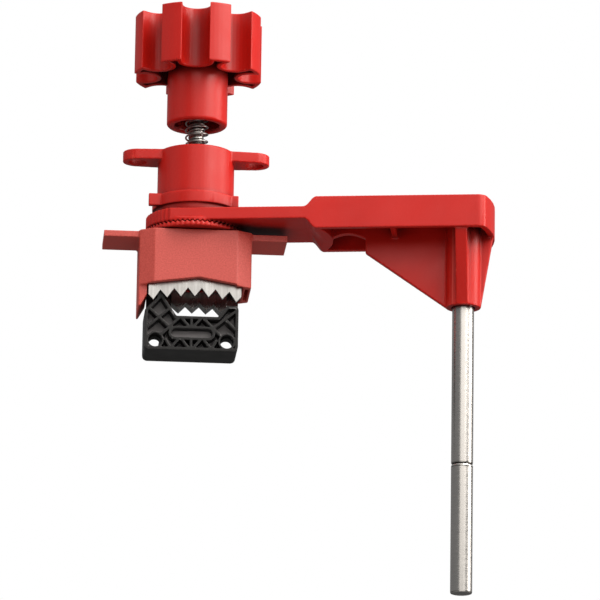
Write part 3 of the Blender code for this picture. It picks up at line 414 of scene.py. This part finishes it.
def turned_steel(name):
    """Bar steel with fine rings from the lathe and small pits, edges paler with wear and a painted
    highlight, and painted shade in its hollows.
    """
    base = (0.60, 0.58, 0.555)
    rough = 0.27
    paint = Paint(name)
    rings = paint.noise(1.0, 3.0, 0.6, (220.0, 220.0, 900.0))
    pits = paint.noise(950.0, 2.0, 0.6)
    tone = paint.mixed(paint.spread(rings, 0.0, 1.0), scaled(base, 0.95), scaled(base, 1.05))
    tone = paint.mixed(paint.spread(pits, 0.0, 0.25, 0.60, 0.76), tone, scaled(base, 0.6))
    # Edges paler: wear, with a painted highlight.
    tone = paint.mixed(paint.edge_wear_and_sheen(0.53, 0.62), tone, (0.86, 0.84, 0.80))
    # Painted shade: hollows darkened.
    tone = paint.mixed(paint.painted_shade_share(6.0 * MM, 0.35, 0.95), scaled(base, 0.22), tone)
    paint.colour(tone)
    paint.shader.inputs["Metallic"].default_value = 1.0
    paint.rough(paint.spread(rings, rough - 0.02, rough + 0.04))
    paint.bumped([(rings, 0.03, 0.02 * MM), (pits, 0.03, 0.02 * MM)])
    return paint.material


def plated_steel(name):
    """Bright plated sheet, with a faint grain across the teeth and a painted shadow in its hollows,
    under the housing's edge.
    """
    paint = Paint(name)
    grain = paint.noise(1.0, 3.0, 0.6, (1200.0, 200.0, 60.0))
    cloud = paint.noise(140.0, 3.0)
    tone = paint.mixed(paint.spread(grain, 0.0, 1.0), (0.36, 0.352, 0.342), (0.56, 0.553, 0.543))
    tone = paint.mixed(paint.spread(cloud, 0.0, 0.3), tone, (0.42, 0.415, 0.405))
    # Painted shadow: hollows darkened, as under the housing's edge.
    tone = paint.mixed(paint.painted_shade_share(5.0 * MM, 0.15, 0.80), (0.30, 0.285, 0.275), tone)
    paint.colour(tone)
    paint.shader.inputs["Metallic"].default_value = 1.0
    paint.rough(paint.spread(cloud, 0.24, 0.36))
    paint.bumped([(grain, 0.10, 0.03 * MM)])
    return paint.material


def machined_brass(name):
    """Brass with tool marks and a little tarnish."""
    paint = Paint(name)
    marks = paint.noise(1.0, 3.0, 0.6, (80.0, 80.0, 700.0))
    tarnish = paint.noise(180.0, 4.0)
    tone = paint.mixed(paint.spread(tarnish, 0.0, 1.0), (0.72, 0.50, 0.20), (0.50, 0.32, 0.12))
    paint.colour(tone)
    paint.shader.inputs["Metallic"].default_value = 1.0
    paint.rough(paint.spread(marks, 0.28, 0.42))
    paint.bumped([(marks, 0.10, 0.05 * MM)])
    return paint.material


RED = (0.575, 0.010, 0.005)
# Paler red for flecks, and for edges, where it is wear and a painted highlight.
RED_FLECK_WEAR_AND_SHEEN = (0.70, 0.050, 0.036)
# Painted shade laid into the red plastic's hollows.
PAINTED_SHADE_RED = (0.070, 0.006, 0.006)
GRAINED_RED = (0.60, 0.045, 0.028)
# Paler grained red for the grain, and for edges, where it is wear and a painted highlight.
GRAINED_PALE_WEAR_AND_SHEEN = (0.70, 0.090, 0.066)

finishes = {
    "moulded_red": moulded_plastic("moulded_red_skin", RED, RED_FLECK_WEAR_AND_SHEEN, 0.36),
    "grained_red": grained_plastic("grained_red_skin", GRAINED_RED, GRAINED_PALE_WEAR_AND_SHEEN),
    "black_nylon": black_nylon("black_nylon_skin"),
    "turned_steel": turned_steel("turned_steel_skin"),
    "bright_steel": plated_steel("plated_steel_skin"),
    "brass": machined_brass("machined_brass_skin"),
}


# ---------------------------------------------------------- placing the pieces


def body_of(node):
    """The body that carries a CAD node."""
    return frame["nodes"][node]["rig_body"]


def slot_of(node):
    """The material slot that the record gives a CAD node."""
    for part in frame["record"]["subparts"]:
        if part["node"] == node:
            return part["material_slot"]
    raise ValueError(node)


def dress(piece, slot):
    """Give a piece its slot's procedural finish."""
    piece.data.materials.clear()
    piece.data.materials.append(finishes[slot])
    return piece


def stands_for(piece, node):
    """A piece that replaces one CAD node and rides where the node did."""
    dress(piece, slot_of(node))
    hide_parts(node)
    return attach(piece, body_of(node))


# -------------------------------------------------------------- moulded pieces

MOULDED = [
    ("hand_knob", "knob_shell", 0.32 * MM, 0.14),
    ("locking_collar", "collar_sleeve", 0.30 * MM, 0.14),
    ("clamp_housing", "housing_shell", 0.32 * MM, 0.14),
    ("blocking_arm", "arm_moulding", 0.32 * MM, 0.14),
    ("lower_jaw", "jaw_block", 0.22 * MM, 0.14),
    ("index_ring", "index_ring_toothed", 0.40 * MM, 0.40),
]

for node, name, cell, kept in MOULDED:
    stands_for(moulded_copy(node, name, cell, kept), node)

ROUNDED = [
    ("jaw_carrier", "jaw_carrier_block", 0.35 * MM),
    ("front_jaw_plate", "toothed_plate_front", 0.12 * MM),
    ("rear_jaw_plate_1", "toothed_plate_rear_1", 0.12 * MM),
    ("rear_jaw_plate_2", "toothed_plate_rear_2", 0.12 * MM),
    ("rear_jaw_plate_3", "toothed_plate_rear_3", 0.12 * MM),
    ("rear_jaw_plate_4", "toothed_plate_rear_4", 0.12 * MM),
    ("knob_nut", "knob_lock_nut", 0.30 * MM),
    ("screw_nut", "brass_screw_nut", 0.25 * MM),
    ("rod_screw", "rod_socket_screw", 0.18 * MM),
    ("screw_clip", "neck_clip", 0.12 * MM),
    ("collar_retaining_ring", "collar_snap_ring", 0.15 * MM),
]

for node, name, width in ROUNDED:
    stands_for(rounded_copy(node, name, width), node)


# --------------------------------------------------------------- turned pieces


def washer(node, name, edge):
    """A flat ring with its four edges broken."""
    low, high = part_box(node)
    outer = 0.5 * (high.x - low.x)
    inner = min(math.hypot(v.co.x, v.co.y) for v in frame["nodes"][node].data.vertices)
    profile = [
        (inner + edge, low.z),
        (outer - edge, low.z),
        (outer, low.z + edge),
        (outer, high.z - edge),
        (outer - edge, high.z),
        (inner + edge, high.z),
        (inner, high.z - edge),
        (inner, low.z + edge),
    ]
    return stands_for(turned(name, profile, 48, centre_of(node)), node)


def knob_cap():
    """The cap: a shallow dish with a raised middle, inside a bevelled rim."""
    low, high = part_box("knob_cap")
    radius = 0.5 * (high.x - low.x)
    top = high.z
    skirt = 0.66 * radius
    profile = [
        (0.0, top - 0.25 * MM),
        (0.28 * radius, top - 0.28 * MM),
        (0.34 * radius, top - 0.55 * MM),
        (0.72 * radius, top - 0.50 * MM),
        (0.80 * radius, top - 0.12 * MM),
        (0.86 * radius, top),
        (0.94 * radius, top - 0.05 * MM),
        (radius, top - 0.40 * MM),
        (radius, top - 1.55 * MM),
        (radius - 0.15 * MM, top - 1.70 * MM),
        (skirt, top - 1.70 * MM),
        (skirt, low.z + 0.2 * MM),
        (skirt - 0.2 * MM, low.z),
        (skirt - 0.8 * MM, low.z),
        (skirt - 0.8 * MM, top - 1.70 * MM),
        (0.0, top - 1.70 * MM),
    ]
    return stands_for(turned("knob_cap_disc", profile, 64, centre_of("knob_cap")), "knob_cap")


def rod_length(node, name, joint_at_top):
    """One length of the rod, faced at its ends, with a fine groove by the joint."""
    low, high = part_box(node)
    radius = 0.5 * (high.x - low.x)
    bore = 3.3 * MM
    depth = 12.0 * MM
    chamfer = 0.6 * MM
    groove = 0.16 * MM
    inset = 1.1 * MM
    screw_hole = 2.2 * MM
    screw_depth = 14.0 * MM
    if joint_at_top:
        profile = [
            (0.0, low.z + 0.15 * MM),
            (radius - 2.2 * chamfer, low.z + 0.08 * MM),
            (radius - chamfer, low.z),
            (radius - 0.3 * chamfer, low.z + 0.25 * chamfer),
            (radius, low.z + chamfer),
            (radius, low.z + 2.0 * chamfer),
            (radius, high.z - inset - 4.0 * groove),
            (radius, high.z - inset - groove),
            (radius - groove, high.z - inset),
            (radius, high.z - inset + groove),
            (radius, high.z - chamfer),
            (radius - 0.3 * chamfer, high.z - 0.25 * chamfer),
            (radius - chamfer, high.z),
            (bore, high.z),
            (bore, high.z - depth),
            (0.0, high.z - depth - MM),
        ]
    else:
        profile = [
            (0.0, low.z + depth + MM),
            (bore, low.z + depth),
            (bore, low.z),
            (radius - chamfer, low.z),
            (radius - 0.3 * chamfer, low.z + 0.25 * chamfer),
            (radius, low.z + chamfer),
            (radius, low.z + 2.0 * chamfer),
            (radius, high.z - 2.0 * chamfer),
            (radius, high.z - chamfer),
            (radius - chamfer, high.z),
            (screw_hole, high.z),
            (screw_hole, high.z - screw_depth),
            (0.0, high.z - screw_depth - 0.5 * MM),
        ]
    return stands_for(turned(name, profile, 72, centre_of(node), 12.0), node)


def stud():
    """The joining stud, threaded along its length."""
    low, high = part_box("rod_stud")
    radius = 0.5 * (high.x - low.x)
    piece = threaded_bar("rod_joining_stud", radius, low.z, high.z, STUD_PITCH, STUD_THREAD, 28)
    x, y = centre_of("rod_stud")
    piece.data.transform(Matrix.Translation((x, y, 0.0)))
    return stands_for(piece, "rod_stud")


def thread_depth(phase):
    """How deep the thread is at a share of its pitch: crest, flank, root, flank."""
    if phase < 0.30:
        return 0.0
    if phase < 0.48:
        return (phase - 0.30) / 0.18
    if phase < 0.82:
        return 1.0
    return (1.0 - phase) / 0.18


def threaded_bar(name, radius, low, high, pitch, depth, sides):
    """A right-hand screw thread on a bar, with tapered first and last turns."""
    rows_per_turn = 12
    rows = int((high - low) / pitch * rows_per_turn)
    bm = bmesh.new()
    rings = []
    for row in range(rows + 1):
        height = low + (high - low) * row / rows
        edge = min(height - low, high - height)
        taper = min(1.0, edge / (0.8 * pitch))
        ring = []
        for side in range(sides):
            angle = 2.0 * math.pi * side / sides
            phase = (height / pitch - side / sides) % 1.0
            local = radius - depth * max(thread_depth(phase), 1.0 - taper)
            ring.append(bm.verts.new((local * math.cos(angle), local * math.sin(angle), height)))
        rings.append(ring)
    bm.faces.new(rings[0])
    bm.faces.new(rings[-1])
    for lower, upper in zip(rings, rings[1:]):
        for side in range(sides):
            after = (side + 1) % sides
            bm.faces.new((lower[side], lower[after], upper[after], upper[side]))
    return shaded(bm, name, 60.0)


def clamp_screw():
    """The clamp screw: a coarse thread above the plain neck with its clip groove."""
    node = "clamp_screw"
    low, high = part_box(node)
    radius = 0.5 * (high.x - low.x)
    washer_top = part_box("thrust_washer")[1].z
    shoulder = washer_top + 0.3 * MM
    thread = threaded_bar("spindle_thread", radius, shoulder, high.z, SCREW_PITCH, SCREW_THREAD, 40)
    stands_for(thread, node)
    clip_low, clip_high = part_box("screw_clip")
    neck = 2.6 * MM
    root = 2.0 * MM
    profile = [
        (0.0, low.z),
        (neck - 0.3 * MM, low.z),
        (neck, low.z + 0.3 * MM),
        (neck, clip_low.z - 0.05 * MM),
        (root, clip_low.z - 0.05 * MM),
        (root, clip_high.z + 0.15 * MM),
        (neck, clip_high.z + 0.15 * MM),
        (neck, shoulder + 0.4 * MM),
        (0.0, shoulder + 0.4 * MM),
    ]
    plain_neck = turned("spindle_neck", profile, 40)
    dress(plain_neck, slot_of(node))
    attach(plain_neck, body_of(node))


def coil_spring():
    """The compression spring, slimmer and closed at its lower end."""
    node = "knob_spring"
    low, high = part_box(node)
    wire = 0.42 * MM
    radius = 0.5 * (high.x - low.x) - wire
    turns = 15.0
    closed = 1.6
    slim = 0.5 * MM
    steps_per_turn = 28
    sides = 10
    bottom = low.z + wire
    top = high.z - wire
    pitch = (top - bottom - 2.0 * closed * 2.0 * wire) / (turns - 2.0 * closed)
    steps = int(turns * steps_per_turn)
    bm = bmesh.new()
    rings = []
    for step in range(steps + 1):
        turn = step / steps_per_turn
        if turn < closed:
            height = bottom + 2.0 * wire * turn
        elif turn < turns - closed:
            height = bottom + 2.0 * wire * closed + pitch * (turn - closed)
        else:
            height = top - 2.0 * wire * (turns - turn)
        angle = 2.0 * math.pi * turn
        outward = Vector((math.cos(angle), math.sin(angle), 0.0))
        middle = outward * (radius - slim * max(0.0, 1.0 - 2.0 * turn / turns))
        middle.z = height
        ring = []
        for side in range(sides):
            around = 2.0 * math.pi * side / sides
            offset = outward * math.cos(around) + Vector((0.0, 0.0, math.sin(around)))
            ring.append(bm.verts.new(middle + offset * wire))
        rings.append(ring)
    bm.faces.new(rings[0])
    bm.faces.new(rings[-1])
    for lower, upper in zip(rings, rings[1:]):
        for side in range(sides):
            after = (side + 1) % sides
            bm.faces.new((lower[side], lower[after], upper[after], upper[side]))
    piece = shaded(bm, "coil_spring", 60.0)
    dress(piece, slot_of(node))
    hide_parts(node)
    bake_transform(piece)


def pan_head(name, head_radius, head_height, shank_radius, length):
    """A pan-head screw along +Z, its shank from 0 to its length, with a cross recess."""
    dome = []
    steps = 6
    for step in range(steps + 1):
        angle = 0.5 * math.pi * step / steps
        height = length + head_height * (0.45 + 0.55 * math.sin(angle))
        dome.append((head_radius * (0.62 + 0.38 * math.cos(angle)), height))
    profile = [(0.0, 0.0), (shank_radius, 0.0), (shank_radius, length)]
    profile += [(head_radius, length)] + dome
    profile.append((0.0, length + head_height))
    screw = turned(name, profile, 32)
    for turn in (0.0, 0.5 * math.pi):
        bm = bmesh.new()
        bmesh.ops.create_cube(bm, size=1.0)
        span = Matrix.Diagonal((1.15 * head_radius, 0.24 * head_radius, head_height, 1.0))
        place = Matrix.Translation((0.0, 0.0, length + 0.95 * head_height))
        bm.transform(place @ Matrix.Rotation(turn, 4, "Z") @ span)
        carve(screw, shaded(bm, "slot"))
    return screw


def small_screws():
    """The ring's four screws and the jaw's two, each with a cross recess."""
    for number in range(1, 5):
        node = f"index_ring_screw_{number}"
        low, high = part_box(node)
        head = 0.5 * (high.x - low.x)
        height = 0.9 * MM
        screw = pan_head(f"ring_screw_{number}", head, height, 0.8 * MM, high.z - low.z - height)
        x, y = centre_of(node)
        screw.data.transform(Matrix.Translation((x, y, low.z)))
        stands_for(screw, node)
    for number in range(1, 3):
        node = f"lower_jaw_screw_{number}"
        low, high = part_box(node)
        head = 0.5 * (high.z - low.z)
        height = 1.6 * MM
        screw = pan_head(f"jaw_screw_{number}", head, height, 1.7 * MM, high.x - low.x - height)
        turn = Matrix.Rotation(-0.5 * math.pi, 4, "Y")
        place = Matrix.Translation((high.x, 0.0, 0.5 * (low.z + high.z)))
        screw.data.transform(place @ turn)
        stands_for(screw, node)


def rivets():
    """The plates' rivets, with domed ends."""
    for number in (1, 2):
        node = f"jaw_rivet_{number}"
        low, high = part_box(node)
        radius = 0.5 * (high.x - low.x)
        length = high.y - low.y
        profile = [
            (0.0, 0.0),
            (0.6 * radius, 0.06 * MM),
            (0.9 * radius, 0.2 * MM),
            (radius, 0.45 * MM),
            (radius, length - 0.45 * MM),
            (0.9 * radius, length - 0.2 * MM),
            (0.6 * radius, length - 0.06 * MM),
            (0.0, length),
        ]
        rivet = turned(f"plate_rivet_{number}", profile, 24)
        turn = Matrix.Rotation(-0.5 * math.pi, 4, "X")
        place = Matrix.Translation((0.5 * (low.x + high.x), low.y, 0.5 * (low.z + high.z)))
        rivet.data.transform(place @ turn)
        stands_for(rivet, node)


knob_cap()
washer("knob_washer", "knob_flat_washer", 0.12 * MM)
washer("spring_washer", "spring_seat_washer", 0.12 * MM)
washer("thrust_washer", "carrier_thrust_washer", 0.1 * MM)
rod_length("blocking_rod", "rod_upper_length", False)
rod_length("rod_extension", "rod_lower_length", True)
stud()
clamp_screw()
coil_spring()
small_screws()
rivets()


# ------------------------------------------------------- camera, light, stage


def make_camera():
    """The camera: below the object and a little to its left, looking up."""
    yaw = math.radians(CAMERA_YAW)
    pitch = math.radians(CAMERA_PITCH)
    roll = math.radians(CAMERA_ROLL)
    forward = Vector((math.sin(yaw) * math.cos(pitch), math.cos(yaw) * math.cos(pitch), math.sin(pitch)))
    right = Vector((math.cos(yaw), -math.sin(yaw), 0.0))
    up = right.cross(forward)
    position = CAMERA_TARGET - forward * CAMERA_DISTANCE
    aimed = CAMERA_TARGET + right * CAMERA_AIM.x + up * CAMERA_AIM.y
    gaze = (aimed - position).normalized()
    across = (right - gaze * right.dot(gaze)).normalized()
    rise = across.cross(gaze)
    image_right = across * math.cos(roll) - rise * math.sin(roll)
    image_up = across * math.sin(roll) + rise * math.cos(roll)
    data = bpy.data.cameras.new("view")
    data.sensor_width = SENSOR_WIDTH
    data.lens = CAMERA_FOCAL_WIDTHS * SENSOR_WIDTH
    data.clip_start = 0.05
    data.clip_end = 60.0
    camera = bpy.data.objects.new("view", data)
    turn = Matrix((image_right, image_up, -gaze)).transposed().to_4x4()
    camera.matrix_world = Matrix.Translation(position) @ turn
    bpy.context.collection.objects.link(camera)
    bpy.context.scene.camera = camera


LIT_POINT = Vector((0.05, 0.0, 0.02))


def softbox(name, azimuth, elevation, distance, size, power, glossy=True):
    """A softbox round the clamp: azimuth 0 is in front, 90 to the right, and metal may mirror it."""
    across = math.radians(azimuth)
    above = math.radians(elevation)
    away = Vector(
        (math.sin(across) * math.cos(above), -math.cos(across) * math.cos(above), math.sin(above))
    )
    data = bpy.data.lights.new(name, "AREA")
    data.shape = "RECTANGLE"
    data.size = size[0]
    data.size_y = size[1]
    data.energy = power
    data.color = (1.0, 0.955, 0.90)
    light = bpy.data.objects.new(name, data)
    light.location = LIT_POINT + away * distance
    light.rotation_mode = "QUATERNION"
    light.rotation_quaternion = (-away).to_track_quat("-Z", "Y")
    light.visible_camera = False
    light.visible_glossy = glossy
    bpy.context.collection.objects.link(light)


def make_lights():
    """A broad front light, a key from the front right and weaker lights all round."""
    softbox("front", 8.0, 21.0, 1.0, (1.15, 0.60), 3.3)
    softbox("key", 48.0, 38.0, 1.0, (0.55, 0.75), 8.8)
    softbox("side", 84.0, 8.0, 0.9, (0.40, 0.9), 5.2)
    softbox("fill", -70.0, 16.0, 1.1, (0.9, 1.2), 3.6, glossy=False)
    softbox("top", -10.0, 80.0, 1.0, (0.7, 0.7), 2.4)
    softbox("below", 10.0, -42.0, 1.0, (0.9, 0.5), 1.3)


def make_sky():
    """A white surround for the camera and a soft, darker-from-below sky for the light."""
    world = bpy.data.worlds.new("studio")
    bpy.context.scene.world = world
    world.use_nodes = True
    nodes = world.node_tree.nodes
    links = world.node_tree.links
    nodes.clear()
    output = nodes.new("ShaderNodeOutputWorld")
    place = nodes.new("ShaderNodeTexCoord")
    split = nodes.new("ShaderNodeSeparateXYZ")
    ramp = nodes.new("ShaderNodeValToRGB")
    height = nodes.new("ShaderNodeMapRange")
    height.inputs["From Min"].default_value = -1.0
    links.new(place.outputs["Generated"], split.inputs["Vector"])
    links.new(split.outputs["Z"], height.inputs["Value"])
    links.new(height.outputs["Result"], ramp.inputs["Fac"])
    ramp.color_ramp.elements[0].position = 0.40
    ramp.color_ramp.elements[0].color = (0.06, 0.06, 0.06, 1.0)
    ramp.color_ramp.elements[1].position = 0.75
    ramp.color_ramp.elements[1].color = (0.34, 0.34, 0.34, 1.0)
    nadir = ramp.color_ramp.elements.new(0.0)
    nadir.color = (0.30, 0.29, 0.28, 1.0)
    surround = nodes.new("ShaderNodeBackground")
    surround.inputs["Color"].default_value = (1.0, 1.0, 1.0, 1.0)
    sky = nodes.new("ShaderNodeBackground")
    links.new(ramp.outputs["Color"], sky.inputs["Color"])
    path = nodes.new("ShaderNodeLightPath")
    mix = nodes.new("ShaderNodeMixShader")
    links.new(path.outputs["Is Camera Ray"], mix.inputs["Fac"])
    links.new(sky.outputs["Background"], mix.inputs[1])
    links.new(surround.outputs["Background"], mix.inputs[2])
    links.new(mix.outputs["Shader"], output.inputs["Surface"])


def make_floor():
    """A plain pale floor, below the camera."""
    bm = bmesh.new()
    bmesh.ops.create_circle(bm, cap_ends=True, segments=96, radius=12.0)
    floor = shaded(bm, "studio_floor")
    floor.location.z = -0.74
    paint = Paint("pale_floor")
    tone = paint.spread(paint.noise(3.0, 3.0), 0.0, 1.0)
    paint.colour(paint.mixed(tone, (0.80, 0.80, 0.80), (0.84, 0.84, 0.84)))
    paint.rough(paint.spread(paint.noise(20.0, 3.0), 0.75, 0.9))
    floor.data.materials.append(paint.material)
    floor.visible_diffuse = False
    floor.visible_glossy = False


make_camera()
make_lights()
make_sky()
make_floor()
bpy.context.scene.view_settings.view_transform = "Standard"
